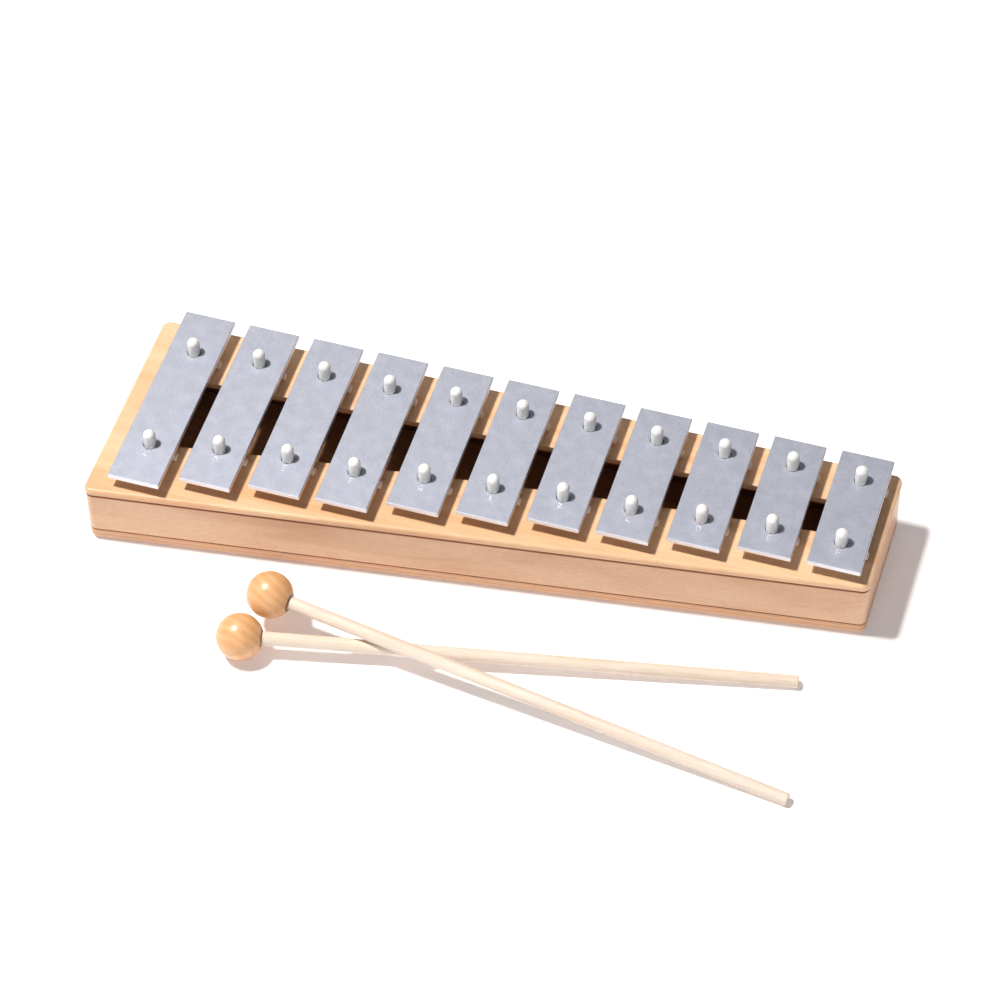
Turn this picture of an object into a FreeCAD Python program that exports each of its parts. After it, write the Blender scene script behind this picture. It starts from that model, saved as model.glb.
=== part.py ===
"""Small diatonic glockenspiel: a tapering wooden sound box, eleven steel tone bars on pins, two mallets.

Millimetres. X runs along the row from the long low bars (-X) to the short high ones (+X), Y runs from
the player (-Y) to the back, and +Z is up. The origin is the middle of the sound box's footprint, on
the surface that it stands on.
"""
import FreeCAD, Part
import math
import os

Vector = FreeCAD.Vector
UP = Vector(0, 0, 1)

# Sound box: a trapezoid in plan. Its ends are parallel to the bars, and its front edge is slanted.
CASE_LENGTH = 363.8
LEFT_DEPTH = 111.9
RIGHT_DEPTH = 69.4
BACK_RISE = 5.4              # how much further back the back edge is at the right end than at the left
BASE_THICKNESS = 7.2
WALL_HEIGHT = 24.5
TOP_THICKNESS = 4.0
WALL_THICKNESS = 8.0
CORNER_RADIUS = 4.0          # vertical corners
TOP_EDGE_RADIUS = 1.6        # upper edge of the top board
SEAM_EASE = 0.9              # lower edge of the top board and both edges of the walls, which draw the seams
BASE_EDGE_RADIUS = 3.5
WALL_INSET = 0.3             # the walls stand back this far under the top board

# Sound slot in the top board, between the two rails that carry the bars.
SLOT_LEFT_X = -162.0
SLOT_RIGHT_X = 160.0
BACK_RAIL_LEFT = 33.5        # widths of the solid rails at the slot's two ends
BACK_RAIL_RIGHT = 23.2
FRONT_RAIL_LEFT = 32.9
FRONT_RAIL_RIGHT = 29.3
FRONT_RAIL_BOW = 3.5         # the front rail is this much wider in the middle, where it follows the pins
SLOT_CORNER_RADIUS = 4.0
SLOT_EDGE_EASE = 0.5

# Tone bars: steel strip of one section, cut to length for each note. Long ones sound lower.
BAR_WIDTH = 25.0
BAR_THICKNESS = 2.5
BAR_PITCH = 32.24
ROW_OFFSET = 3.1             # the row sits this far right of the box's middle
BACK_OVERHANG = 0.8          # how far the bars reach past the back edge of the box
NODE_FRACTION = 0.22         # a free bar rests still at this part of its length from each end
BAR_EASE = 0.35
HOLE_DIAMETER = 6.7
HOLE_CHAMFER = 0.6
BAR_LIFT = 13.0              # how far a bar rises to come off its pins
NOTES = [
    ("c6", 107.0), ("d6", 100.0), ("e6", 95.5), ("f6", 94.5), ("g6", 88.0), ("a6", 84.5),
    ("b6", 79.5), ("c7", 78.0), ("d7", 73.5), ("e7", 69.5), ("f7", 69.0),
]

# Stamped note letters, in front of the front pin: strokes on a grid 2 wide and 4 high.
MARK_HEIGHT = 3.4
MARK_STROKE = 0.5
MARK_DEPTH = 0.25
MARK_GAP = 6.2               # from the pin's centre to the letter's centre
LETTER_STROKES = {
    "a": [(0, 0, 1, 4), (1, 4, 2, 0), (0.5, 1.6, 1.5, 1.6)],
    "b": [(0, 0, 0, 4), (0, 4, 2, 3), (2, 3, 0, 2), (0, 2, 2, 1), (2, 1, 0, 0)],
    "c": [(2, 4, 0, 3), (0, 3, 0, 1), (0, 1, 2, 0)],
    "d": [(0, 0, 0, 4), (0, 4, 2, 2.8), (2, 2.8, 2, 1.2), (2, 1.2, 0, 0)],
    "e": [(0, 0, 0, 4), (0, 4, 2, 4), (0, 2, 1.6, 2), (0, 0, 2, 0)],
    "f": [(0, 0, 0, 4), (0, 4, 2, 4), (0, 2, 1.6, 2)],
    "g": [(2, 4, 0, 3), (0, 3, 0, 1), (0, 1, 2, 0), (2, 0, 2, 1.8), (2, 1.8, 1.1, 1.8)],
}

# Pins and the soft rests that they pass through.
PIN_DIAMETER = 5.7
PIN_STAND = 8.5              # dome's top above the bar
PIN_GRIP = 12.0              # length held in the wood
REST_HEIGHT = 5.5
REST_ROD_DIAMETER = 4.2
REST_ROD_SHIFT = 1.8         # how far the rod lies in front of the pin
REST_ROD_OVERHANG = 0.6      # how far the rod shows past each side of the bar
REST_ROD_GAP = 0.25          # between the rod and the board, which only the eye stands on
REST_EYE_DIAMETER = 10.0
RUNNING_CLEARANCE = 0.05

# Battens under the top board that hold the pins.
BATTEN_INNER = 4.8           # from the line of pins to the side next to the slot
BATTEN_OUTER = 8.4
BATTEN_HEIGHT = 10.0
BATTEN_END_GAP = 4.0

# Mallets: a turned ball on a slightly tapered stick.
HEAD_DIAMETER = 22.0
STICK_HEAD_DIAMETER = 6.6
STICK_TIP_DIAMETER = 5.8
STICK_STOP = 8.0             # wood left between the stick's end and the far side of the head
STICK_TIP_EASE = 0.5
HOLE_LIP_EASE = 0.8
MALLET_REACH = 256.0         # from the head's centre to the stick's tip
LOWER_HEAD_XY = (-90.4, -101.1)
LOWER_HEADING = 12.2         # degrees from +X towards +Y
UPPER_HEAD_XY = (-82.4, -80.3)
UPPER_HEADING = -7.1
CROSSING_GAP = 0.35          # between the two sticks where they cross, measured upright

# Worked-out heights.
WALL_BOTTOM = BASE_THICKNESS
TOP_BOTTOM = WALL_BOTTOM + WALL_HEIGHT
TOP_FACE = TOP_BOTTOM + TOP_THICKNESS
BAR_BOTTOM = TOP_FACE + REST_HEIGHT
BAR_TOP = BAR_BOTTOM + BAR_THICKNESS

# Worked-out plan of the box.
LEFT_X = -CASE_LENGTH / 2
RIGHT_X = CASE_LENGTH / 2
HALF_PLAN = (LEFT_DEPTH + BACK_RISE) / 2
FRONT_LEFT_Y = -HALF_PLAN
BACK_LEFT_Y = FRONT_LEFT_Y + LEFT_DEPTH
BACK_RIGHT_Y = BACK_LEFT_Y + BACK_RISE
FRONT_RIGHT_Y = BACK_RIGHT_Y - RIGHT_DEPTH


def along(x, left_value, right_value, left_x=LEFT_X, right_x=RIGHT_X):
    """The value at x on a straight run between two ends."""
    return left_value + (right_value - left_value) * (x - left_x) / (right_x - left_x)


def front_edge_y(x):
    return along(x, FRONT_LEFT_Y, FRONT_RIGHT_Y)


def back_edge_y(x):
    return along(x, BACK_LEFT_Y, BACK_RIGHT_Y)


def bar_x(index):
    """Centre line of bar number index, counted from the longest."""
    return ROW_OFFSET + (index - (len(NOTES) - 1) / 2) * BAR_PITCH


def bar_ends(index):
    """Near and far end of a bar."""
    far = back_edge_y(bar_x(index)) + BACK_OVERHANG
    return far - NOTES[index][1], far


def pin_ys(index):
    """Front and back pin of a bar, at its two still points."""
    near, far = bar_ends(index)
    inset = NOTES[index][1] * NODE_FRACTION
    return near + inset, far - inset


def prism(points, bottom, top):
    """A straight-sided solid over a closed outline of corners given as (x, y)."""
    corners = [Vector(x, y, bottom) for x, y in points]
    wire = Part.makePolygon(corners + corners[:1])
    return Part.Face(wire).extrude(UP * (top - bottom))


def inset_outline(inset):
    """The box's outline, moved inwards by the same distance on all four sides."""
    front_slant = math.atan2(FRONT_RIGHT_Y - FRONT_LEFT_Y, CASE_LENGTH)
    back_slant = math.atan2(BACK_RIGHT_Y - BACK_LEFT_Y, CASE_LENGTH)
    front_shift = inset / math.cos(front_slant)
    back_shift = inset / math.cos(back_slant)
    left = LEFT_X + inset
    right = RIGHT_X - inset
    return [
        (left, front_edge_y(left) + front_shift),
        (right, front_edge_y(right) + front_shift),
        (right, back_edge_y(right) - back_shift),
        (left, back_edge_y(left) - back_shift),
    ]


def is_upright(edge):
    start = edge.Vertexes[0].Point
    end = edge.Vertexes[-1].Point
    return abs(end.z - start.z) > 0.5 * edge.Length


def edges_at(shape, height):
    """Edges that lie flat at one height."""
    return [edge for edge in shape.Edges
            if abs(edge.BoundBox.ZMin - height) < 1e-4 and abs(edge.BoundBox.ZMax - height) < 1e-4]


def box_block(inset, bottom, top):
    """A solid over the box's outline, with its upright corners rounded."""
    block = prism(inset_outline(inset), bottom, top)
    return block.makeFillet(CORNER_RADIUS - inset, [edge for edge in block.Edges if is_upright(edge)])


def base_board():
    board = box_block(WALL_INSET, 0, BASE_THICKNESS)
    return board.makeFillet(BASE_EDGE_RADIUS, edges_at(board, 0))


def room(bottom, top):
    """The space inside the walls."""
    return prism(inset_outline(WALL_INSET + WALL_THICKNESS), bottom, top)


def wall_ring():
    """All four walls as one ring, with its outer edges eased."""
    block = box_block(WALL_INSET, WALL_BOTTOM, TOP_BOTTOM)
    block = block.makeFillet(SEAM_EASE, edges_at(block, WALL_BOTTOM) + edges_at(block, TOP_BOTTOM))
    return block.cut(room(WALL_BOTTOM - 1, TOP_BOTTOM + 1))


def walls():
    """The long walls run past the ends, and the end walls are fitted between them."""
    ring = wall_ring()
    inner = inset_outline(WALL_INSET + WALL_THICKNESS)
    (_, front_left), (_, front_right), (_, back_right), (_, back_left) = inner
    inner_left = inner[0][0]
    inner_right = inner[1][0]
    reach = CASE_LENGTH
    front_at = [along(x, front_left, front_right, inner_left, inner_right) for x in (-reach, reach)]
    back_at = [along(x, back_left, back_right, inner_left, inner_right) for x in (-reach, reach)]
    front_zone = prism([(-reach, -reach), (reach, -reach), (reach, front_at[1]), (-reach, front_at[0])],
                       WALL_BOTTOM - 1, TOP_BOTTOM + 1)
    back_zone = prism([(-reach, back_at[0]), (reach, back_at[1]), (reach, reach), (-reach, reach)],
                      WALL_BOTTOM - 1, TOP_BOTTOM + 1)
    ends = ring.cut(front_zone).cut(back_zone).Solids
    ends.sort(key=lambda solid: solid.CenterOfMass.x)
    return {
        "front_wall": ring.common(front_zone),
        "back_wall": ring.common(back_zone),
        "left_wall": ends[0],
        "right_wall": ends[-1],
    }


def slot_corners():
    """The slot's corners: front left, front right, back right and back left."""
    return [
        (SLOT_LEFT_X, front_edge_y(SLOT_LEFT_X) + FRONT_RAIL_LEFT),
        (SLOT_RIGHT_X, front_edge_y(SLOT_RIGHT_X) + FRONT_RAIL_RIGHT),
        (SLOT_RIGHT_X, back_edge_y(SLOT_RIGHT_X) - BACK_RAIL_RIGHT),
        (SLOT_LEFT_X, back_edge_y(SLOT_LEFT_X) - BACK_RAIL_LEFT),
    ]


def sound_slot():
    """The slot as a solid to cut away. Its front side is an arc that follows the row of pins."""
    front_left, front_right, back_right, back_left = [
        Vector(x, y, TOP_BOTTOM - 1) for x, y in slot_corners()]
    middle = (front_left + front_right) * 0.5 + Vector(0, FRONT_RAIL_BOW, 0)
    wire = Part.Wire([
        Part.Arc(front_left, middle, front_right).toShape(),
        Part.makeLine(front_right, back_right),
        Part.makeLine(back_right, back_left),
        Part.makeLine(back_left, front_left),
    ])
    slot = Part.Face(wire).extrude(UP * (TOP_THICKNESS + 2))
    return slot.makeFillet(SLOT_CORNER_RADIUS, [edge for edge in slot.Edges if is_upright(edge)])


def pin_holes(row, bottom, top, diameter):
    """One round cutter for each pin of a row (0 front, 1 back)."""
    return [Part.makeCylinder(diameter / 2, top - bottom, Vector(bar_x(i), pin_ys(i)[row], bottom))
            for i in range(len(NOTES))]


def top_board():
    board = box_block(0, TOP_BOTTOM, TOP_FACE)
    board = board.makeFillet(TOP_EDGE_RADIUS, edges_at(board, TOP_FACE))
    board = board.makeFillet(SEAM_EASE, edges_at(board, TOP_BOTTOM))
    board = board.cut(sound_slot())
    slot_rim = [edge for edge in edges_at(board, TOP_FACE) if on_slot(edge)]
    board = board.makeFillet(SLOT_EDGE_EASE, slot_rim)
    holes = pin_holes(0, TOP_BOTTOM - 1, TOP_FACE + 1, PIN_DIAMETER)
    holes += pin_holes(1, TOP_BOTTOM - 1, TOP_FACE + 1, PIN_DIAMETER)
    return board.cut(Part.makeCompound(holes))


def on_slot(edge):
    """True for an edge inside the board, well away from its outline."""
    centre = edge.CenterOfMass
    depth = back_edge_y(centre.x) - front_edge_y(centre.x)
    from_front = centre.y - front_edge_y(centre.x)
    from_side = min(centre.x - LEFT_X, RIGHT_X - centre.x)
    return 0.15 * depth < from_front < 0.85 * depth and from_side > 0.04 * CASE_LENGTH


def pin_batten(row):
    """A strip glued under the top board along one row of pins."""
    last = len(NOTES) - 1
    left = LEFT_X + WALL_INSET + WALL_THICKNESS + BATTEN_END_GAP
    right = RIGHT_X - WALL_INSET - WALL_THICKNESS - BATTEN_END_GAP
    first_y = pin_ys(0)[row]
    last_y = pin_ys(last)[row]
    front_side, back_side = ((-BATTEN_OUTER, BATTEN_INNER), (-BATTEN_INNER, BATTEN_OUTER))[row]
    sides = []
    for x, shift in ((left, front_side), (right, front_side), (right, back_side), (left, back_side)):
        middle = along(x, first_y, last_y, bar_x(0), bar_x(last))
        sides.append((x, middle + batten_bow(row) + shift))
    strip = prism(sides, TOP_BOTTOM - BATTEN_HEIGHT, TOP_BOTTOM).common(room(WALL_BOTTOM, TOP_BOTTOM))
    holes = pin_holes(row, TOP_FACE - PIN_GRIP, TOP_BOTTOM + 1, PIN_DIAMETER)
    return strip.cut(Part.makeCompound(holes))


def batten_bow(row):
    """The pins lie on a slight curve, so a straight strip sits at the middle of their offsets."""
    last = len(NOTES) - 1
    offsets = []
    for i in range(len(NOTES)):
        chord = along(bar_x(i), pin_ys(0)[row], pin_ys(last)[row], bar_x(0), bar_x(last))
        offsets.append(pin_ys(i)[row] - chord)
    return (max(offsets) + min(offsets)) / 2


def domed_pin(x, y):
    """A pin held in the wood, with a half-round top."""
    radius = PIN_DIAMETER / 2
    bottom = TOP_FACE - PIN_GRIP
    shoulder = BAR_TOP + PIN_STAND - radius
    shank = Part.makeCylinder(radius, shoulder - bottom, Vector(x, y, bottom))
    dome = Part.makeSphere(radius, Vector(x, y, shoulder), UP, 0, 90, 360)
    return shank.fuse(dome).removeSplitter()


def soft_rest(x, y):
    """A round rod across the bar, with an eye that slips over the pin and stands on the board."""
    length = BAR_WIDTH + 2 * REST_ROD_OVERHANG
    radius = REST_ROD_DIAMETER / 2
    rod = Part.makeCylinder(radius, length, Vector(
        x - length / 2, y - REST_ROD_SHIFT, TOP_FACE + REST_ROD_GAP + radius), Vector(1, 0, 0))
    eye = Part.makeCylinder(REST_EYE_DIAMETER / 2, REST_HEIGHT, Vector(x, y, TOP_FACE))
    hole = Part.makeCylinder(PIN_DIAMETER / 2 + RUNNING_CLEARANCE, REST_HEIGHT + 2,
                             Vector(x, y, TOP_FACE - 1))
    return rod.fuse(eye).cut(hole)


def row_of(maker, row):
    """One piece per bar of a row (0 front, 1 back), as a group of separate solids."""
    return Part.makeCompound([maker(bar_x(i), pin_ys(i)[row]) for i in range(len(NOTES))])


def bar_hole(x, y):
    """Cutter for a through hole with its upper rim chamfered."""
    radius = HOLE_DIAMETER / 2
    through = Part.makeCylinder(radius, BAR_THICKNESS + 2, Vector(x, y, BAR_BOTTOM - 1))
    mouth = Part.makeCone(radius, radius + 2 * HOLE_CHAMFER, 2 * HOLE_CHAMFER,
                          Vector(x, y, BAR_TOP - HOLE_CHAMFER))
    return through.fuse(mouth)


def stroke(start, end):
    """Cutter for one stamped stroke between two points on the bar's top."""
    run = end - start
    block = Part.makeBox(run.Length + MARK_STROKE, MARK_STROKE, 2 * MARK_DEPTH,
                         Vector(-MARK_STROKE / 2, -MARK_STROKE / 2, -MARK_DEPTH))
    block.rotate(Vector(0, 0, 0), UP, math.degrees(math.atan2(run.y, run.x)))
    block.translate(start)
    return block


def note_mark(letter, x, y):
    """Cutters for a letter centred at x, y on the bar's top."""
    unit = MARK_HEIGHT / 4
    corner = Vector(x - unit, y - 2 * unit, BAR_TOP)
    return [stroke(corner + Vector(x1, y1, 0) * unit, corner + Vector(x2, y2, 0) * unit)
            for x1, y1, x2, y2 in LETTER_STROKES[letter]]


def tone_bar(index):
    x = bar_x(index)
    near, far = bar_ends(index)
    front_pin, back_pin = pin_ys(index)
    bar = Part.makeBox(BAR_WIDTH, far - near, BAR_THICKNESS, Vector(x - BAR_WIDTH / 2, near, BAR_BOTTOM))
    bar = bar.makeFillet(BAR_EASE, bar.Edges)
    bar = bar.cut(bar_hole(x, front_pin)).cut(bar_hole(x, back_pin))
    for cutter in note_mark(NOTES[index][0][0], x, front_pin - MARK_GAP):
        bar = bar.cut(cutter)
    return bar


def heading(angle):
    return Vector(math.cos(math.radians(angle)), math.sin(math.radians(angle)), 0)


def stick_radius(distance):
    """Radius of a stick at a distance from its head's centre."""
    return along(distance, STICK_HEAD_DIAMETER / 2, STICK_TIP_DIAMETER / 2, 0, MALLET_REACH)


def tip_of(head, angle):
    """The tip's centre, for a stick whose tip rests on the ground."""
    tip_height = STICK_TIP_DIAMETER / 2
    flat_reach = math.sqrt(MALLET_REACH ** 2 - (head.z - tip_height) ** 2)
    tip = head + heading(angle) * flat_reach
    return Vector(tip.x, tip.y, tip_height)


def crossing():
    """Plan distances from the lower head and from the upper head to where the sticks cross."""
    lower_way = heading(LOWER_HEADING)
    upper_way = heading(UPPER_HEADING)
    apart = Vector(UPPER_HEAD_XY[0] - LOWER_HEAD_XY[0], UPPER_HEAD_XY[1] - LOWER_HEAD_XY[1], 0)
    turn = lower_way.x * upper_way.y - lower_way.y * upper_way.x
    lower_run = (apart.x * upper_way.y - apart.y * upper_way.x) / turn
    upper_run = (apart.x * lower_way.y - apart.y * lower_way.x) / turn
    return lower_run, upper_run


def lower_mallet_ends():
    head = Vector(LOWER_HEAD_XY[0], LOWER_HEAD_XY[1], HEAD_DIAMETER / 2)
    return head, tip_of(head, LOWER_HEADING)


def upper_mallet_ends():
    """The upper stick lies on the lower one and on its own tip, so its head is held off the ground."""
    lower_run, upper_run = crossing()
    lower_head, lower_tip = lower_mallet_ends()
    lower_height = along(lower_run, lower_head.z, lower_tip.z, 0, MALLET_REACH)
    height = lower_height + stick_radius(lower_run) + stick_radius(upper_run) + CROSSING_GAP
    tip_height = STICK_TIP_DIAMETER / 2
    slope = (height - tip_height) / (MALLET_REACH - upper_run)
    head = Vector(UPPER_HEAD_XY[0], UPPER_HEAD_XY[1], tip_height + slope * MALLET_REACH)
    return head, tip_of(head, UPPER_HEADING)


def mallet(head, tip):
    """The head and the stick of one mallet. The stick is glued into a blind hole in the head."""
    way = (tip - head).normalize()
    start = head - way * (HEAD_DIAMETER / 2 - STICK_STOP)
    length = (tip - start).Length
    start_radius = stick_radius((start - head).dot(way))
    stick = Part.makeCone(start_radius, STICK_TIP_DIAMETER / 2, length, start, way)
    tip_rim = min(stick.Edges, key=lambda edge: (edge.CenterOfMass - tip).Length)
    stick = stick.makeFillet(STICK_TIP_EASE, [tip_rim])
    ball = Part.makeSphere(HEAD_DIAMETER / 2, head).cut(Part.makeCone(
        start_radius, STICK_TIP_DIAMETER / 2, length, start, way))
    return turned_lip(ball, head, way), stick


def turned_lip(ball, head, way):
    """Eases the rim of the stick's hole with a conical cut."""
    mouth = head + way * math.sqrt((HEAD_DIAMETER / 2) ** 2 - (STICK_HEAD_DIAMETER / 2) ** 2)
    narrow = STICK_HEAD_DIAMETER / 2
    cutter = Part.makeCone(narrow - 0.1, narrow + 2 * HOLE_LIP_EASE, 2 * HOLE_LIP_EASE,
                           mouth - way * HOLE_LIP_EASE, way)
    return ball.cut(cutter)


def save(name, shape):
    if not shape.isValid():
        raise ValueError(name + " is not a valid shape")
    shape.exportStep("parts/" + name + ".step")
    box = shape.BoundBox
    print("%-20s %2d solids  x %7.1f %7.1f  y %7.1f %7.1f  z %5.1f %5.1f" % (
        name, len(shape.Solids), box.XMin, box.XMax, box.YMin, box.YMax, box.ZMin, box.ZMax))


def main():
    os.makedirs("parts", exist_ok=True)
    save("base_board", base_board())
    for name, shape in walls().items():
        save(name, shape)
    save("top_board", top_board())
    for row, side in enumerate(("front", "back")):
        save(side + "_pin_batten", pin_batten(row))
        save(side + "_pins", row_of(domed_pin, row))
        save(side + "_rests", row_of(soft_rest, row))
    for index, (note, _) in enumerate(NOTES):
        save("tone_bar_" + note, tone_bar(index))
    for level, ends in (("lower", lower_mallet_ends()), ("upper", upper_mallet_ends())):
        head, stick = mallet(*ends)
        save(level + "_mallet_head", head)
        save(level + "_mallet_stick", stick)
    print("bars rise %.1f mm to come off pins that stand %.1f mm above their undersides" % (
        BAR_LIFT, BAR_THICKNESS + PIN_STAND))


main()
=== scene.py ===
# %% [markdown]
# A small glockenspiel: eleven steel tone bars lie on soft rests over a tapering beech sound box, and two
# mallets with turned ball heads lie crossed in front of it. The boards and the bars come from the packed
# CAD frame and keep their shape. Here they get their finishes, and the turned, rolled and moulded parts
# (pins, rests, mallet heads and sticks) are modelled again with smooth rounds.

# %% Load the frame
import math
import bpy
from mathutils import Matrix, Vector


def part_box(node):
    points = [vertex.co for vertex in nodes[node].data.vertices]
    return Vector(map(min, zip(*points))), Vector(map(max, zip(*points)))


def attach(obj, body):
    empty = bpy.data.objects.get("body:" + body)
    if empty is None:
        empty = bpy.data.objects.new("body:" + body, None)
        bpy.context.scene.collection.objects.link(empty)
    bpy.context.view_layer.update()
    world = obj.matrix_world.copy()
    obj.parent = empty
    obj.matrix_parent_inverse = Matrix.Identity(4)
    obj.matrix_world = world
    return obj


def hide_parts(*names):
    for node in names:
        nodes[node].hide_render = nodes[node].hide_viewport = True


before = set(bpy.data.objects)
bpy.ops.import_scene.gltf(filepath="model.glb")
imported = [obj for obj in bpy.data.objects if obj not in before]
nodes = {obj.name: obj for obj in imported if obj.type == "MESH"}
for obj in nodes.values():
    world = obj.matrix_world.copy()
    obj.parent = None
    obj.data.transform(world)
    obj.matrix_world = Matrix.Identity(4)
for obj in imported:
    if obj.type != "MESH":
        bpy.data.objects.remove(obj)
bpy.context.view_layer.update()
MM = 0.001
scene = bpy.context.scene

# %% [markdown]
# Every note has its own bar, and a bar's box in the frame says where its two pins stand: a free bar rests
# still at 22 % of its length from each end, so that is where its holes are drilled.

# %% Read the places of the bars and pins from the frame
NOTES = ["c6", "d6", "e6", "f6", "g6", "a6", "b6", "c7", "d7", "e7", "f7"]
NODE_FRACTION = 0.22
bar_boxes = {note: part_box("tone_bar_" + note) for note in NOTES}


def pin_places(row):
    """Where the pins of a row stand (0 front, 1 back)."""
    places = []
    for low, high in bar_boxes.values():
        reach = (high.y - low.y) * NODE_FRACTION
        places.append(((low.x + high.x) / 2, high.y - reach if row else low.y + reach))
    return places


bar_bottom = bar_boxes["c6"][0].z
bar_top = bar_boxes["c6"][1].z
board_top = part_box("top_board")[1].z
print("bars lie %.1f mm above the top board" % ((bar_bottom - board_top) / MM))

# %% [markdown]
# A few small helpers. Colours are written as sRGB hex values, which a person can read off a paint card,
# and one function turns them into the linear numbers that the shaders work in. Another adds one shader
# node with its settings and its links, whatever its kind. A third turns the size of a pattern's features
# in millimetres into the number of times it repeats in a metre.


# %% Colour and node helpers
def paint(hex_code):
    """An sRGB hex colour as a linear RGBA."""
    values = [int(hex_code[i:i + 2], 16) / 255 for i in (1, 3, 5)]
    return tuple(v / 12.92 if v <= 0.04045 else ((v + 0.055) / 1.055) ** 2.4 for v in values) + (1.0,)


def add_node(material, kind, settings=None, stops=(), **inputs):
    """Adds a node. An input is set from a number or colour, or linked from (node, output name).

    Stops are the (position, colour) pairs of a colour ramp. Input i0 is the first socket, and so on.
    """
    tree = material.node_tree
    made = tree.nodes.new(kind)
    for name, value in (settings or {}).items():
        setattr(made, name, value)
    for index, (position, colour) in enumerate(stops):
        if index >= len(made.color_ramp.elements):
            made.color_ramp.elements.new(position)
        made.color_ramp.elements[index].position = position
        made.color_ramp.elements[index].color = colour
    for name, value in inputs.items():
        key = int(name[1:]) if name[0] == "i" and name[1:].isdigit() else name.replace("_", " ")
        if isinstance(value, tuple) and isinstance(value[0], bpy.types.Node):
            tree.links.new(value[0].outputs[value[1]], made.inputs[key])
        else:
            made.inputs[key].default_value = value
    return made


def blank_material(name):
    """An empty node material with its output node."""
    material = bpy.data.materials.new(name)
    material.use_nodes = True
    material.node_tree.nodes.clear()
    return material, add_node(material, "ShaderNodeOutputMaterial")


def finish_material(material, output, shader):
    """Joins the shader to the material's output."""
    material.node_tree.links.new(shader.outputs[0], output.inputs["Surface"])
    print("material", material.name, "has", len(material.node_tree.nodes), "nodes")
    return material


def per(size_mm):
    """How often a pattern whose features are this many millimetres wide repeats in a metre."""
    return 1 / (size_mm * MM)


GREY = {level: (level, level, level, 1.0) for level in (0.0, 0.75, 1.0)}
print("paint #808080 is", round(paint("#808080")[0], 3), "and 5 mm repeats", per(5), "times in a metre")

# %% [markdown]
# Beech is a pale, pinkish hardwood. A planed board shows three things: slow changes of tone that run with
# the grain, fine fibres about half a millimetre wide, and the short dark dashes (ray flecks) that make
# beech easy to know, about 2 mm long and 0.3 mm wide. A clear satin varnish lies over it. Within a
# millimetre of the two lines where boards meet, whose heights are read from the frame, the wood is painted
# darker: painted shade for the seams' grooves, together with the varnish and dust that gather there. One
# function makes the finish, and is told which way a board's grain runs, because the end walls are cut
# across.


# %% Varnished beech
SEAM_SCALE = 40 * MM
low_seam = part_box("base_board")[1].z / SEAM_SCALE
high_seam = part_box("top_board")[0].z / SEAM_SCALE
STEP = MM / SEAM_SCALE


def seam_shade_and_glue_lines(material, place):
    """White on plain wood and brown at the two seams: painted shade, with the glue and varnish there."""
    split = add_node(material, "ShaderNodeSeparateXYZ", Vector=(place, "Object"))
    height = add_node(material, "ShaderNodeMath", {"operation": "DIVIDE"}, i0=(split, "Z"), i1=SEAM_SCALE)
    brown = paint("#B0785A")
    tan = paint("#D2A286")
    return add_node(material, "ShaderNodeValToRGB", Fac=(height, "Value"), stops=[
        (low_seam, tan), (low_seam + 0.9 * STEP, GREY[1.0]), (high_seam - 1.3 * STEP, GREY[1.0]),
        (high_seam - 0.5 * STEP, brown), (high_seam + 0.5 * STEP, brown),
        (high_seam + 1.1 * STEP, GREY[1.0])])


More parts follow.
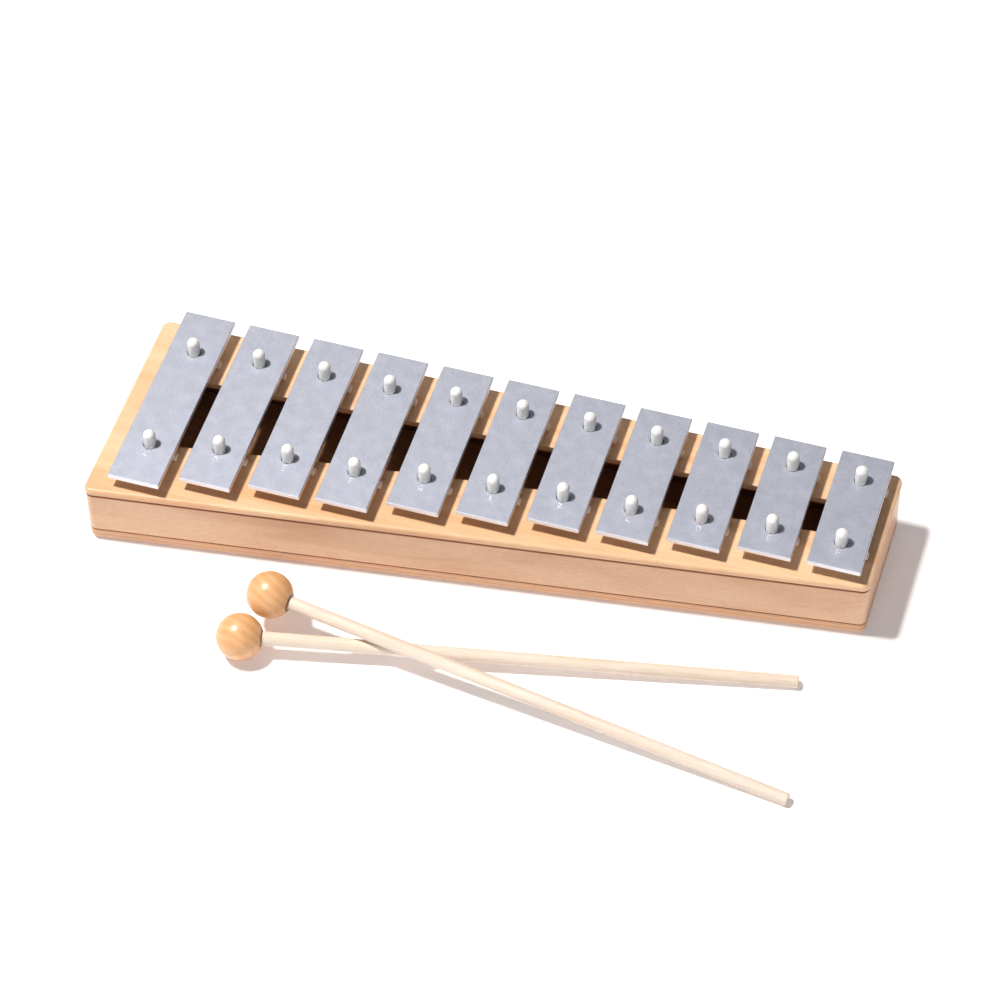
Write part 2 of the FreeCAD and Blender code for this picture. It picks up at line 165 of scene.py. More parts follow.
def beech(name, turn, pale, mid, deep, fleck, roughness=0.42, coat=0.25, shift=(0, 0, 0)):
    """Planed beech under a clear coat, with the grain along X after the mapping's turn."""
    material, output = blank_material(name)
    place = add_node(material, "ShaderNodeTexCoord")
    board = add_node(material, "ShaderNodeMapping", Vector=(place, "Object"), Rotation=turn, Location=shift)
    tone_space = add_node(material, "ShaderNodeMapping", Vector=(board, "Vector"),
                          Scale=(per(167), per(14.3), per(14.3)))
    tone = add_node(material, "ShaderNodeTexNoise", Vector=(tone_space, "Vector"), Scale=1.0, Detail=4.0,
                    Roughness=0.55, Distortion=0.6)
    fibre_space = add_node(material, "ShaderNodeMapping", Vector=(board, "Vector"),
                           Scale=(per(22), per(0.625), per(0.625)))
    fibre = add_node(material, "ShaderNodeTexNoise", Vector=(fibre_space, "Vector"), Scale=1.0, Detail=3.0,
                     Roughness=0.6)
    fleck_space = add_node(material, "ShaderNodeMapping", Vector=(board, "Vector"),
                           Scale=(per(2.6), per(0.53), per(0.53)))
    flecks = add_node(material, "ShaderNodeTexVoronoi", Vector=(fleck_space, "Vector"), Scale=1.0)
    dash = add_node(material, "ShaderNodeValToRGB", Fac=(flecks, "Distance"),
                    stops=[(0.10, GREY[1.0]), (0.26, GREY[0.0])])
    tones = add_node(material, "ShaderNodeValToRGB", Fac=(tone, "Fac"),
                     stops=[(0.30, deep), (0.50, mid), (0.72, pale)])
    threads = add_node(material, "ShaderNodeValToRGB", Fac=(fibre, "Fac"),
                       stops=[(0.32, GREY[0.75]), (0.62, GREY[1.0])])
    threaded = add_node(material, "ShaderNodeMix", {"data_type": "RGBA", "blend_type": "MULTIPLY"},
                        i0=0.45, i6=(tones, "Color"), i7=(threads, "Color"))
    fleck_strength = add_node(material, "ShaderNodeMath", {"operation": "MULTIPLY"}, i0=(dash, "Color"),
                              i1=0.42)
    wood = add_node(material, "ShaderNodeMix", {"data_type": "RGBA"}, i0=(fleck_strength, "Value"),
                    i6=(threaded, 2), i7=fleck)
    # painted shade along the two seams darkens the wood here
    seam_shaded = add_node(material, "ShaderNodeMix", {"data_type": "RGBA", "blend_type": "MULTIPLY"}, i0=1.0,
                      i6=(wood, 2), i7=(seam_shade_and_glue_lines(material, place), "Color"))
    grain_height = add_node(material, "ShaderNodeBump", Strength=0.12, Distance=0.2 * MM,
                            Height=(fibre, "Fac"))
    sheen = add_node(material, "ShaderNodeMapRange", Value=(fibre, "Fac"), To_Min=roughness - 0.06,
                     To_Max=roughness + 0.10)
    shader = add_node(material, "ShaderNodeBsdfPrincipled", Base_Color=(seam_shaded, 2),
                      Roughness=(sheen, "Result"),
                      Normal=(grain_height, "Normal"), IOR=1.5, Coat_Weight=coat, Coat_Roughness=0.22)
    return finish_material(material, output, shader)


ALONG_ROW = (0.0, 0.0, 0.0)
ACROSS_ROW = (0.0, 0.0, math.radians(90))
beech_long = beech("beech_planed_satin_varnish", ALONG_ROW, paint("#EECBA9"), paint("#E8C19C"),
                   paint("#DFB088"), paint("#BC855C"))
beech_wall = beech("beech_wall_satin_varnish", ALONG_ROW, paint("#E6C2A2"), paint("#DFB795"),
                   paint("#D4A785"), paint("#A4683F"), shift=(0.3, 0.1, 0.05))
beech_end = beech("beech_end_wall_satin_varnish", ACROSS_ROW, paint("#E9BE97"), paint("#E0AF86"),
                  paint("#CE9468"), paint("#A1633C"))

# %% [markdown]
# The base is a sheet of red-brown plywood with rounded lower edges. Its faces are veneer, and its edge
# shows the stacked plies as thin bands, about 1.2 mm each, every second one darker because it is end
# grain. The bands are worked out from the height alone, so they run all the way round the edge.

# %% Plywood for the base
PLY = 1.2 * MM
ply_material, ply_output = blank_material("red_plywood_sanded_varnish")
ply_place = add_node(ply_material, "ShaderNodeTexCoord")
ply_split = add_node(ply_material, "ShaderNodeSeparateXYZ", Vector=(ply_place, "Object"))
ply_phase = add_node(ply_material, "ShaderNodeMath", {"operation": "MULTIPLY"}, i0=(ply_split, "Z"),
                     i1=math.pi / PLY)
ply_wave = add_node(ply_material, "ShaderNodeMath", {"operation": "SINE"}, i0=(ply_phase, "Value"))
ply_level = add_node(ply_material, "ShaderNodeMapRange", Value=(ply_wave, "Value"), From_Min=-1.0,
                     From_Max=1.0)
ply_space = add_node(ply_material, "ShaderNodeMapping", Vector=(ply_place, "Object"),
                     Scale=(per(33), per(2.5), per(1.1)))
ply_grain = add_node(ply_material, "ShaderNodeTexNoise", Vector=(ply_space, "Vector"), Scale=1.0,
                     Detail=4.0, Roughness=0.6)
ply_bands = add_node(ply_material, "ShaderNodeValToRGB", Fac=(ply_level, "Result"),
                     stops=[(0.25, paint("#D0A07A")), (0.75, paint("#DCB08E"))])
ply_tint = add_node(ply_material, "ShaderNodeValToRGB", Fac=(ply_grain, "Fac"),
                    stops=[(0.3, GREY[0.75]), (0.7, GREY[1.0])])
ply_wood = add_node(ply_material, "ShaderNodeMix", {"data_type": "RGBA", "blend_type": "MULTIPLY"}, i0=0.6,
                    i6=(ply_bands, "Color"), i7=(ply_tint, "Color"))
ply_bump = add_node(ply_material, "ShaderNodeBump", Strength=0.15, Distance=0.2 * MM,
                    Height=(ply_grain, "Fac"))
ply_shader = add_node(ply_material, "ShaderNodeBsdfPrincipled", Base_Color=(ply_wood, 2), Roughness=0.45,
                      Normal=(ply_bump, "Normal"), IOR=1.5, Coat_Weight=0.2, Coat_Roughness=0.25)
finish_material(ply_material, ply_output, ply_shader)

# %% [markdown]
# The battens under the top board are sawn strips with no varnish. Nobody sees them but a repairer, yet a
# look through the slot finds them, so they get a drier finish than the boards, and a dark brown that is
# painted shade for the deep dark inside the box.

# %% Sawn wood for the battens, dark brown as painted shade
# the dark colours paint in the shade inside the box
sawn_wood_painted_shade = beech("beech_sawn_dark_painted_shade", ALONG_ROW, paint("#6A412A"), paint("#5C3622"), paint("#4C2B1A"),
                  paint("#351C10"), roughness=0.75, coat=0.0, shift=(0.7, 0.2, 0.1))

# %% Put the wood on the boards
def finish_node(name, material):
    """Gives a CAD node one material."""
    slots = nodes[name].material_slots
    if not slots:
        nodes[name].data.materials.append(material)
    for slot in nodes[name].material_slots:
        slot.material = material


finish_node("top_board", beech_long)
for name in ("front_wall", "back_wall"):
    finish_node(name, beech_wall)
for name in ("left_wall", "right_wall"):
    finish_node(name, beech_end)
for name in ("front_pin_batten", "back_pin_batten"):
    finish_node(name, sawn_wood_painted_shade)
finish_node("base_board", ply_material)
print("wood on 8 boards")

# %% [markdown]
# The tone bars are cut from flat steel strip and tumbled, then zinc plated. That leaves a cool, even grey
# with no clear reflection: a soft cloudiness a few millimetres across, a speckle about 1 mm across, a
# fine grit of about 0.15 mm from the tumbling (drawn at 0.4 mm so that it shows), and a few short hair
# scratches. Everything more than 0.2 mm below the top face (the sawn ends, the sides, the underside and
# the stamped letters) is painted brighter as a painted highlight, worked out from the depth below the top
# face. The metal keeps the default IOR, since its colour comes from its base colour.

# %% Zinc-plated steel
steel, steel_output = blank_material("zinc_plated_steel_tumbled")
steel_place = add_node(steel, "ShaderNodeTexCoord")
clouds = add_node(steel, "ShaderNodeTexNoise", Vector=(steel_place, "Object"), Scale=per(6.25), Detail=3.0,
                  Roughness=0.5)
grit = add_node(steel, "ShaderNodeTexNoise", Vector=(steel_place, "Object"), Scale=per(0.4), Detail=2.0,
                Roughness=0.7)
scratch_space = add_node(steel, "ShaderNodeMapping", Vector=(steel_place, "Object"),
                         Scale=(per(0.38), per(11), per(1000)), Rotation=(0.0, 0.0, math.radians(14)))
scratches = add_node(steel, "ShaderNodeTexNoise", Vector=(scratch_space, "Vector"), Scale=1.0, Detail=1.0)
cloud_tone = add_node(steel, "ShaderNodeValToRGB", Fac=(clouds, "Fac"),
                      stops=[(0.30, paint("#BABECB")), (0.55, paint("#BFC3D0")), (0.75, paint("#C4C8D4"))])
hair = add_node(steel, "ShaderNodeValToRGB", Fac=(scratches, "Fac"),
                stops=[(0.66, GREY[0.0]), (0.74, GREY[1.0])])
hair_weight = add_node(steel, "ShaderNodeMath", {"operation": "MULTIPLY"}, i0=(hair, "Color"), i1=0.18)
speckle = add_node(steel, "ShaderNodeTexNoise", Vector=(steel_place, "Object"), Scale=per(1.0), Detail=2.0,
                   Roughness=0.6)
speckle_tone = add_node(steel, "ShaderNodeValToRGB", Fac=(speckle, "Fac"),
                        stops=[(0.30, paint("#F2F2F4")), (0.60, GREY[1.0])])
speckled = add_node(steel, "ShaderNodeMix", {"data_type": "RGBA", "blend_type": "MULTIPLY"}, i0=0.8,
                    i6=(cloud_tone, "Color"), i7=(speckle_tone, "Color"))
steel_hair = add_node(steel, "ShaderNodeMix", {"data_type": "RGBA"}, i0=(hair_weight, "Value"),
                      i6=(speckled, 2), i7=paint("#E6E8EC"))
steel_split = add_node(steel, "ShaderNodeSeparateXYZ", Vector=(steel_place, "Object"))
# painted highlight: faces lying below the top face are given a brighter colour
painted_edge_highlight = add_node(steel, "ShaderNodeMapRange", Value=(steel_split, "Z"), From_Min=bar_top - 0.1 * MM,
                    From_Max=bar_top - 0.2 * MM)
steel_tone = add_node(steel, "ShaderNodeMix", {"data_type": "RGBA"}, i0=(painted_edge_highlight, "Result"),
                      i6=(steel_hair, 2), i7=paint("#E6E8EE"))
steel_rough = add_node(steel, "ShaderNodeMapRange", Value=(clouds, "Fac"), To_Min=0.56, To_Max=0.62)
steel_bump = add_node(steel, "ShaderNodeBump", Strength=0.20, Distance=0.06 * MM, Height=(grit, "Fac"))
steel_shader = add_node(steel, "ShaderNodeBsdfPrincipled", Base_Color=(steel_tone, 2), Metallic=1.0,
                        Roughness=(steel_rough, "Result"), Normal=(steel_bump, "Normal"))
finish_material(steel, steel_output, steel_shader)
for note in NOTES:
    finish_node("tone_bar_" + note, steel)
print("steel on", len(NOTES), "bars")

# %% [markdown]
# Modelling helpers. The operators act on everything that is selected, so each piece starts with nothing
# selected, and faces are then picked by where they are or which way they face. When a piece is done, its
# place is moved into its mesh, so its object sits at the origin like the CAD nodes.


# %% Edit-mode helpers
def clear_selection():
    bpy.ops.object.select_all(action="DESELECT")


def pick_faces(piece, wanted):
    """In edit mode, selects the faces for which wanted(face) is true."""
    bpy.ops.mesh.select_all(action="DESELECT")
    bpy.ops.mesh.select_mode(type="FACE")
    bpy.ops.object.mode_set(mode="OBJECT")
    for face in piece.data.polygons:
        face.select = wanted(face)
    bpy.ops.object.mode_set(mode="EDIT")


def pick_edges(piece, wanted):
    """In edit mode, selects the edges for which wanted(first corner, second corner) is true."""
    bpy.ops.mesh.select_mode(type="EDGE")
    bpy.ops.mesh.select_all(action="DESELECT")
    bpy.ops.object.mode_set(mode="OBJECT")
    corners = piece.data.vertices
    for edge in piece.data.edges:
        edge.select = wanted(corners[edge.vertices[0]].co, corners[edge.vertices[1]].co)
    bpy.ops.object.mode_set(mode="EDIT")


def settle(piece, material, body):
    """Moves the piece's place into its mesh, smooths it, and gives it its finish and its body."""
    clear_selection()
    piece.select_set(True)
    bpy.context.view_layer.objects.active = piece
    bpy.ops.object.transform_apply(location=True, rotation=True, scale=True)
    bpy.ops.object.shade_smooth_by_angle(angle=math.radians(35))
    piece.data.materials.clear()
    piece.data.materials.append(material)
    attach(piece, body)
    low = [min(v.co[i] for v in piece.data.vertices) / MM for i in range(3)]
    high = [max(v.co[i] for v in piece.data.vertices) / MM for i in range(3)]
    print(piece.name, len(piece.data.polygons), "faces", [round(v, 1) for v in low + high])


def spread(master, places, name):
    """Copies a piece to every place, each copy with its own mesh, and joins them under one name."""
    copies = []
    for x, y in places:
        copy = master.copy()
        copy.data = master.data.copy()
        copy.location = (x, y, 0)
        scene.collection.objects.link(copy)
        copies.append(copy)
    clear_selection()
    for copy in copies:
        copy.select_set(True)
    bpy.context.view_layer.objects.active = copies[0]
    bpy.ops.object.transform_apply(location=True, rotation=True, scale=True)
    bpy.ops.object.join()
    copies[0].name = name
    return copies[0]


# %% [markdown]
# Each pin is a short white nylon rod, 5.7 mm thick, with a domed top, so that it can't mark or buzz
# against the bar. A cylinder is the start. Beveling its top rim by almost the whole radius, in twelve
# steps, gives the dome, and a small bevel breaks the lower rim. One pin is modelled, and the rest are
# copies.

# %% Model one pin
PIN_RADIUS = 2.85 * MM
pin_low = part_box("front_pins")[0].z
pin_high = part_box("front_pins")[1].z
clear_selection()
bpy.ops.mesh.primitive_cylinder_add(vertices=48, radius=PIN_RADIUS, depth=pin_high - pin_low,
                                    location=(0, 0, (pin_high + pin_low) / 2))
pin = bpy.context.object
bpy.ops.object.transform_apply(location=True, rotation=True, scale=True)
bpy.ops.object.mode_set(mode="EDIT")
pick_edges(pin, lambda a, b: a.z > pin_high - MM and b.z > pin_high - MM)
bpy.ops.mesh.bevel(offset=PIN_RADIUS * 0.97, segments=12, profile=0.5, affect="EDGES")
pick_edges(pin, lambda a, b: a.z < pin_low + 0.1 * MM and b.z < pin_low + 0.1 * MM)
bpy.ops.mesh.bevel(offset=0.4 * MM, segments=2, affect="EDGES")
bpy.ops.object.mode_set(mode="OBJECT")
print("pin stands %.1f mm above the bars" % ((pin_high - bar_top) / MM))

# %% [markdown]
# Moulded nylon is white and a little milky: light goes in and scatters before it comes out, which softens
# the line between its lit and its shaded side. Its skin has a satin shine. Faint flow marks about 2 mm
# across vary its tone and its roughness.

# %% White nylon
nylon, nylon_output = blank_material("nylon_moulded_white_satin")
nylon_place = add_node(nylon, "ShaderNodeTexCoord")
flow = add_node(nylon, "ShaderNodeTexNoise", Vector=(nylon_place, "Object"), Scale=per(2.2), Detail=2.0)
nylon_tone = add_node(nylon, "ShaderNodeValToRGB", Fac=(flow, "Fac"),
                      stops=[(0.35, paint("#E9E9E8")), (0.65, paint("#F0F0EF"))])
nylon_rough = add_node(nylon, "ShaderNodeMapRange", Value=(flow, "Fac"), To_Min=0.32, To_Max=0.42)
nylon_shader = add_node(nylon, "ShaderNodeBsdfPrincipled", Base_Color=(nylon_tone, "Color"),
                        Roughness=(nylon_rough, "Result"), IOR=1.53, Subsurface_Weight=0.2,
                        Subsurface_Scale=0.6 * MM)
finish_material(nylon, nylon_output, nylon_shader)

# %% Stand the pins in two rows
for row, side in enumerate(("front", "back")):
    pins = spread(pin, pin_places(row), side + "_pins_domed")
    settle(pins, nylon, "sound_box")
    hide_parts(side + "_pins")
bpy.data.objects.remove(pin)

# %% [markdown]
# A soft rest lies under each bar at each pin: a round silicone rod across the bar, just in front of the
# pin, with an eye that slips over the pin. Only the rounded ends of the rod peep out beside the bar. The
# rod and the eye are two rounded cylinders made one with a boolean union, and a boolean difference drills
# the eye.

# %% Model one rest
rest_low, rest_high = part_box("front_rests")
first_bar = bar_boxes["c6"]
ROD_RADIUS = 2.1 * MM
ROD_SHIFT = 1.8 * MM
ROD_GAP = 0.25 * MM
EYE_RADIUS = 5.0 * MM
rod_length = 2 * ((first_bar[0].x + first_bar[1].x) / 2 - rest_low.x)
rest_middle = (rest_low.z + rest_high.z) / 2


def rounded_rod(radius, length, bevel, turn, height):
    """A cylinder with both rims rounded, lying or standing as turn says."""
    clear_selection()
    bpy.ops.mesh.primitive_cylinder_add(vertices=40, radius=radius, depth=length, location=(0, 0, height),
                                        rotation=turn)
    rod = bpy.context.object
    bpy.ops.object.transform_apply(location=True, rotation=True, scale=True)
    bpy.ops.object.mode_set(mode="EDIT")
    bpy.ops.mesh.select_mode(type="FACE")
    pick_faces(rod, lambda face: len(face.vertices) > 8)
    bpy.ops.mesh.region_to_loop()
    bpy.ops.mesh.bevel(offset=bevel, segments=6, affect="EDGES")
    bpy.ops.object.mode_set(mode="OBJECT")
    return rod


def combine(piece, other, operation):
    """Applies a boolean of the other piece, which is then removed."""
    modifier = piece.modifiers.new("shape", "BOOLEAN")
    modifier.operation = operation
    modifier.object = other
    clear_selection()
    bpy.context.view_layer.objects.active = piece
    piece.select_set(True)
    bpy.ops.object.modifier_apply(modifier=modifier.name)
    bpy.data.objects.remove(other)


rest = rounded_rod(ROD_RADIUS, rod_length, 0.9 * MM, (0, math.radians(90), 0),
                   rest_low.z + ROD_GAP + ROD_RADIUS)
bpy.ops.transform.translate(value=(0, -ROD_SHIFT, 0))
eye = rounded_rod(EYE_RADIUS, rest_high.z - rest_low.z, 0.5 * MM, (0, 0, 0), rest_middle)
combine(rest, eye, "UNION")
drill = rounded_rod(PIN_RADIUS + 0.05 * MM, 4 * (rest_high.z - rest_low.z), 0.3 * MM, (0, 0, 0),
                    rest_middle)
combine(rest, drill, "DIFFERENCE")
print("rest rod %.1f mm long, rest %.1f mm high" % (rod_length / MM, (rest_high.z - rest_low.z) / MM))

# %% [markdown]
# Moulded silicone is milky: light enters it and scatters a millimetre or two before it comes out, which
# softens its shade. Subsurface scattering gives that, with a matte skin.

# %% Milky silicone
silicone, silicone_output = blank_material("silicone_moulded_milky")
silicone_place = add_node(silicone, "ShaderNodeTexCoord")
skin = add_node(silicone, "ShaderNodeTexNoise", Vector=(silicone_place, "Object"), Scale=per(1.4),
                Detail=3.0)
milk = add_node(silicone, "ShaderNodeValToRGB", Fac=(skin, "Fac"),
                stops=[(0.35, paint("#CFC4BC")), (0.65, paint("#DED5CE"))])
skin_bump = add_node(silicone, "ShaderNodeBump", Strength=0.1, Distance=0.1 * MM, Height=(skin, "Fac"))
silicone_shader = add_node(silicone, "ShaderNodeBsdfPrincipled", Base_Color=(milk, "Color"), Roughness=0.5,
                           IOR=1.41, Subsurface_Weight=0.5, Subsurface_Scale=1.5 * MM,
                           Normal=(skin_bump, "Normal"))
finish_material(silicone, silicone_output, silicone_shader)

# %% Lay the rests under the bars
for row, side in enumerate(("front", "back")):
    rests = spread(rest, pin_places(row), side + "_rests_moulded")
    settle(rests, silicone, "sound_box")
    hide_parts(side + "_rests")
bpy.data.objects.remove(rest)

# %% [markdown]
# Each mallet head is a ball turned on a lathe, 22 mm across, with a blind hole for the stick. A UV sphere
# has its pole where the hole goes, so the faces round that pole can be picked as a neat disc, pushed
# inwards as the hole, and given a soft rim. A head's place and the way of its stick are read from the
# frame: the stick's tip is the part of its mesh that lies furthest from the head.

# %% Read the mallets' places
HEAD_RADIUS = 11.0 * MM


def middle_of(node):
    low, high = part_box(node)
    return (low + high) / 2


def stick_tip(node, head):
    """The middle of the flat end of a stick."""
    points = [v.co for v in nodes[node].data.vertices]
    reach = max((p - head).length for p in points)
    end = [p for p in points if (p - head).length > reach - 0.1 * MM]
    return sum(end, Vector()) / len(end)


mallets = {}
for level in ("lower", "upper"):
    head = middle_of(level + "_mallet_head")
    tip = stick_tip(level + "_mallet_stick", head)
    mallets[level] = (head, tip)
    print(level, "mallet: head", [round(v / MM, 1) for v in head],
          "reach %.1f mm" % ((tip - head).length / MM))

# %% Model one head and one stick, with the stick along +Z
STICK_HEAD_RADIUS = 3.3 * MM
STICK_TIP_RADIUS = 2.9 * MM
STICK_START = -3.0 * MM
reach = (mallets["lower"][1] - mallets["lower"][0]).length
clear_selection()
bpy.ops.mesh.primitive_uv_sphere_add(segments=72, ring_count=48, radius=HEAD_RADIUS)
ball = bpy.context.object
bpy.ops.object.mode_set(mode="EDIT")
mouth_height = math.sqrt(HEAD_RADIUS ** 2 - STICK_HEAD_RADIUS ** 2)
pick_faces(ball, lambda face: face.center.z > mouth_height - 0.05 * MM)
bpy.ops.mesh.delete(type="FACE")
bpy.ops.mesh.select_mode(type="EDGE")
bpy.ops.mesh.select_all(action="DESELECT")
bpy.ops.mesh.select_non_manifold()
bpy.ops.mesh.extrude_region_move(TRANSFORM_OT_translate={"value": (0, 0, -1.0 * MM)})
bpy.ops.transform.resize(value=(0.88, 0.88, 0))
bpy.ops.mesh.extrude_region_move(TRANSFORM_OT_translate={"value": (0, 0, -10.0 * MM)})
bpy.ops.mesh.edge_face_add()
bpy.ops.mesh.normals_make_consistent(inside=False)
bpy.ops.object.mode_set(mode="OBJECT")
print("ball", len(ball.data.polygons), "faces")
clear_selection()
bpy.ops.mesh.primitive_cylinder_add(vertices=48, radius=STICK_HEAD_RADIUS, depth=reach - STICK_START,
                                    location=(0, 0, (reach + STICK_START) / 2))
dowel = bpy.context.object
bpy.ops.object.transform_apply(location=True, rotation=True, scale=True)
bpy.ops.object.mode_set(mode="EDIT")
pick_edges(dowel, lambda a, b: a.z > reach - MM and b.z > reach - MM)
taper = STICK_TIP_RADIUS / STICK_HEAD_RADIUS
bpy.ops.transform.resize(value=(taper, taper, 1))
bpy.ops.mesh.bevel(offset=0.7 * MM, segments=4, affect="EDGES")
bpy.ops.object.mode_set(mode="OBJECT")
print("dowel %.1f mm long" % ((reach - STICK_START) / MM))

# %% [markdown]
# The head's beech is darkened by a warm, glossy varnish. On a turned ball the growth rings show as bands
# that close into ovals, so a wave texture cut through the ball gives them, with noise to bend them. The
# rings are 3.5 mm apart, and at a scale of one a wave texture repeats every tenth of pi. The clear coat
# makes the highlights, and a thin ring round the drilled mouth of the stick's hole is painted dark brown,
# as painted shade in that recess. The sticks are pale, bare, sanded wood with long thin pores. Both
# patterns are turned to follow their own mallet, by the same angle as the mallet lies at.


# %% Varnished ball and pale stick
RING_SPACING = 3.5
WAVE_UNIT = math.pi / 10


def ball_wood(name, head, way, turn):
    material, output = blank_material(name)
    place = add_node(material, "ShaderNodeTexCoord")
    centred = add_node(material, "ShaderNodeVectorMath", {"operation": "SUBTRACT"}, i0=(place, "Object"),
                       i1=tuple(head))
    ball_space = add_node(material, "ShaderNodeMapping", Vector=(centred, "Vector"),
                          Rotation=(0.5, 0.3, -turn))
    rings = add_node(material, "ShaderNodeTexWave", {"wave_type": "BANDS", "bands_direction": "DIAGONAL"},
                     Vector=(ball_space, "Vector"), Scale=per(RING_SPACING) * WAVE_UNIT, Distortion=3.0,
                     Detail=2.0, Detail_Scale=1.5)
    pore_space = add_node(material, "ShaderNodeMapping", Vector=(ball_space, "Vector"),
                          Scale=(per(8.3), per(0.67), per(0.67)))
    pores = add_node(material, "ShaderNodeTexNoise", Vector=(pore_space, "Vector"), Scale=1.0, Detail=3.0)
    bands = add_node(material, "ShaderNodeValToRGB", Fac=(rings, "Fac"),
                     stops=[(0.1, paint("#DFAB7A")), (0.9, paint("#E4B587"))])
    specks = add_node(material, "ShaderNodeValToRGB", Fac=(pores, "Fac"),
                      stops=[(0.34, GREY[0.75]), (0.55, GREY[1.0])])
    wood = add_node(material, "ShaderNodeMix", {"data_type": "RGBA", "blend_type": "MULTIPLY"}, i0=0.3,
                    i6=(bands, "Color"), i7=(specks, "Color"))
    bump = add_node(material, "ShaderNodeBump", Strength=0.08, Distance=0.2 * MM, Height=(pores, "Fac"))
    reach_out = add_node(material, "ShaderNodeVectorMath", {"operation": "DOT_PRODUCT"},
                         i0=(centred, "Vector"), i1=tuple(way))
    # painted shade: a dark brown ring at the mouth of the stick's hole
    mouth_shade = add_node(material, "ShaderNodeMapRange", Value=(reach_out, "Value"),
                   From_Min=mouth_height - 0.8 * MM, From_Max=mouth_height - 0.3 * MM)
    mouth_shaded = add_node(material, "ShaderNodeMix", {"data_type": "RGBA"}, i0=(mouth_shade, "Result"), i6=(wood, 2),
                      i7=paint("#7A4526"))
    shader = add_node(material, "ShaderNodeBsdfPrincipled", Base_Color=(mouth_shaded, 2), Roughness=0.42, IOR=1.5,
                      Normal=(bump, "Normal"), Coat_Weight=0.5, Coat_Roughness=0.26)
    return finish_material(material, output, shader)


def stick_wood(name, turn):
    material, output = blank_material(name)
    place = add_node(material, "ShaderNodeTexCoord")
    stick_space = add_node(material, "ShaderNodeMapping", Vector=(place, "Object"),
                           Rotation=(0.0, 0.0, -turn))
    pore_space = add_node(material, "ShaderNodeMapping", Vector=(stick_space, "Vector"),
                          Scale=(per(17), per(0.56), per(0.56)))
    pores = add_node(material, "ShaderNodeTexNoise", Vector=(pore_space, "Vector"), Scale=1.0, Detail=3.0,
                     Roughness=0.6)
    tone_space = add_node(material, "ShaderNodeMapping", Vector=(stick_space, "Vector"),
                          Scale=(per(83), per(5), per(5)))
    tone = add_node(material, "ShaderNodeTexNoise", Vector=(tone_space, "Vector"), Scale=1.0, Detail=2.0)
    pale = add_node(material, "ShaderNodeValToRGB", Fac=(tone, "Fac"),
                    stops=[(0.3, paint("#E0CFBE")), (0.7, paint("#E9DCD0"))])
    lines = add_node(material, "ShaderNodeValToRGB", Fac=(pores, "Fac"),
                     stops=[(0.36, GREY[0.75]), (0.52, GREY[1.0])])
    wood = add_node(material, "ShaderNodeMix", {"data_type": "RGBA", "blend_type": "MULTIPLY"}, i0=0.40,
                    i6=(pale, "Color"), i7=(lines, "Color"))
    bump = add_node(material, "ShaderNodeBump", Strength=0.15, Distance=0.2 * MM, Height=(pores, "Fac"))
    shader = add_node(material, "ShaderNodeBsdfPrincipled", Base_Color=(wood, 2), Roughness=0.55, IOR=1.5,
                      Normal=(bump, "Normal"))
    return finish_material(material, output, shader)


# %% Lay the mallets down
for level, (head, tip) in mallets.items():
    way = (tip - head).normalized()
    turn = math.atan2(way.y, way.x)
    lie = Matrix.Translation(head) @ way.to_track_quat("Z", "Y").to_matrix().to_4x4()
    for master, kind, slot, material in (
            (ball, "head", "varnished_ball",
             ball_wood("beech_ball_gloss_varnish_" + level, head, way, turn)),
            (dowel, "stick", "pale_stick", stick_wood("pale_dowel_sanded_" + level, turn))):
        piece = master.copy()
        piece.data = master.data.copy()
        piece.data.transform(lie)
        scene.collection.objects.link(piece)
        piece.name = "%s_mallet_%s_turned" % (level, kind)
        settle(piece, material, level + "_mallet")
        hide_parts("%s_mallet_%s" % (level, kind))
bpy.data.objects.remove(ball)
bpy.data.objects.remove(dowel)

# %% [markdown]
# The floor is a plain white sheet lit a little from below, as on a light table, which keeps the shadows
# on it pale. It is staged, so it isn't part of the object.

# %% Floor
clear_selection()
bpy.ops.mesh.primitive_plane_add(size=6.0, location=(0, 0, 0))
floor = bpy.context.object
floor.name = "floor"
floor_material, floor_output = blank_material("matte_white_paper")
floor_shader = add_node(floor_material, "ShaderNodeBsdfPrincipled", Base_Color=paint("#FAF9FA"),
                        Roughness=0.9,
                        Specular_IOR_Level=0.1, Emission_Color=paint("#FFF8FC"), Emission_Strength=0.14)
finish_material(floor_material, floor_output, floor_shader)
floor.data.materials.append(floor_material)

# %% [markdown]
# The light is a plain studio's. One softbox stands high on the left and throws the short shadows to the
# right of each bar. A wide, weak one behind gives the bars their sheen, and another in front lifts the
# front faces. The sky is an even white.

# %% Lights and sky
CENTRE = Vector((0, 0, 30 * MM))


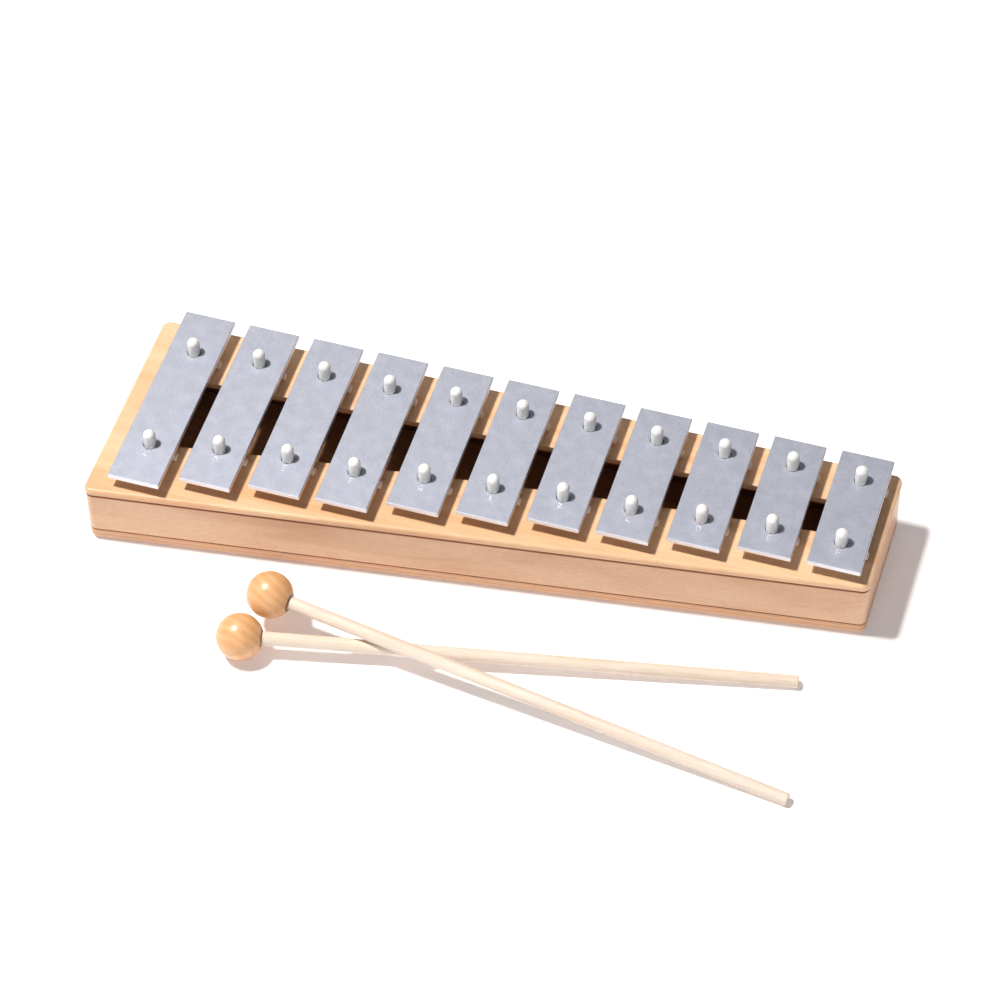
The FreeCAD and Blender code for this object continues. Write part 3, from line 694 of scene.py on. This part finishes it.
def softbox(name, way, distance, size, power, colour):
    """A square area light that stands off in a direction and faces the middle of the instrument."""
    light = bpy.data.lights.new(name, "AREA")
    light.shape = "SQUARE"
    light.size = size
    light.energy = power
    light.color = paint(colour)[:3]
    holder = bpy.data.objects.new(name, light)
    scene.collection.objects.link(holder)
    direction = Vector(way).normalized()
    holder.location = CENTRE + direction * distance
    holder.rotation_euler = direction.to_track_quat("Z", "Y").to_euler()
    print(name, [round(v, 2) for v in holder.location])


softbox("key_softbox", way=(-0.42, -0.05, 1.0), distance=4.0, size=0.44, power=168.0, colour="#FFFAF4")
softbox("back_softbox", way=(-0.2, 0.9, 1.0), distance=2.6, size=1.8, power=2.0, colour="#FFFFFF")
softbox("front_softbox", way=(0.25, -1.0, 0.55), distance=2.4, size=1.6, power=10.0, colour="#FFFFFF")
world = bpy.data.worlds.new("even_white")
world.use_nodes = True
sky = world.node_tree.nodes["Background"]
sky.inputs["Color"].default_value = paint("#FFFFFF")
sky.inputs["Strength"].default_value = 0.14
scene.world = world
scene.view_settings.view_transform = "Standard"
scene.view_settings.look = "Medium High Contrast"

# %% [markdown]
# The camera looks down from the front right with a long lens, which keeps the bars' edges nearly
# parallel. It is placed by the point it looks at, its distance and three angles, so each number has a
# plain meaning.

# %% Camera
LOOK_AT = Vector((-2.73, 19.35, 0.0)) * MM
DISTANCE = 1760.48 * MM
SIDE_ANGLE = math.radians(17.433)
DOWN_ANGLE = math.radians(50.270)
ROLL = math.radians(-0.615)
camera_data = bpy.data.cameras.new("camera")
camera_data.sensor_width = 36.0
camera_data.lens = 133.383
camera = bpy.data.objects.new("camera", camera_data)
scene.collection.objects.link(camera)
aim = Matrix.Rotation(SIDE_ANGLE, 4, "Z") @ Matrix.Rotation(math.pi / 2 - DOWN_ANGLE, 4, "X")
aim = aim @ Matrix.Rotation(ROLL, 4, "Z")
camera.matrix_world = Matrix.Translation(LOOK_AT) @ aim @ Matrix.Translation((0, 0, DISTANCE))
scene.camera = camera
print("camera at", [round(v, 3) for v in camera.matrix_world.translation])
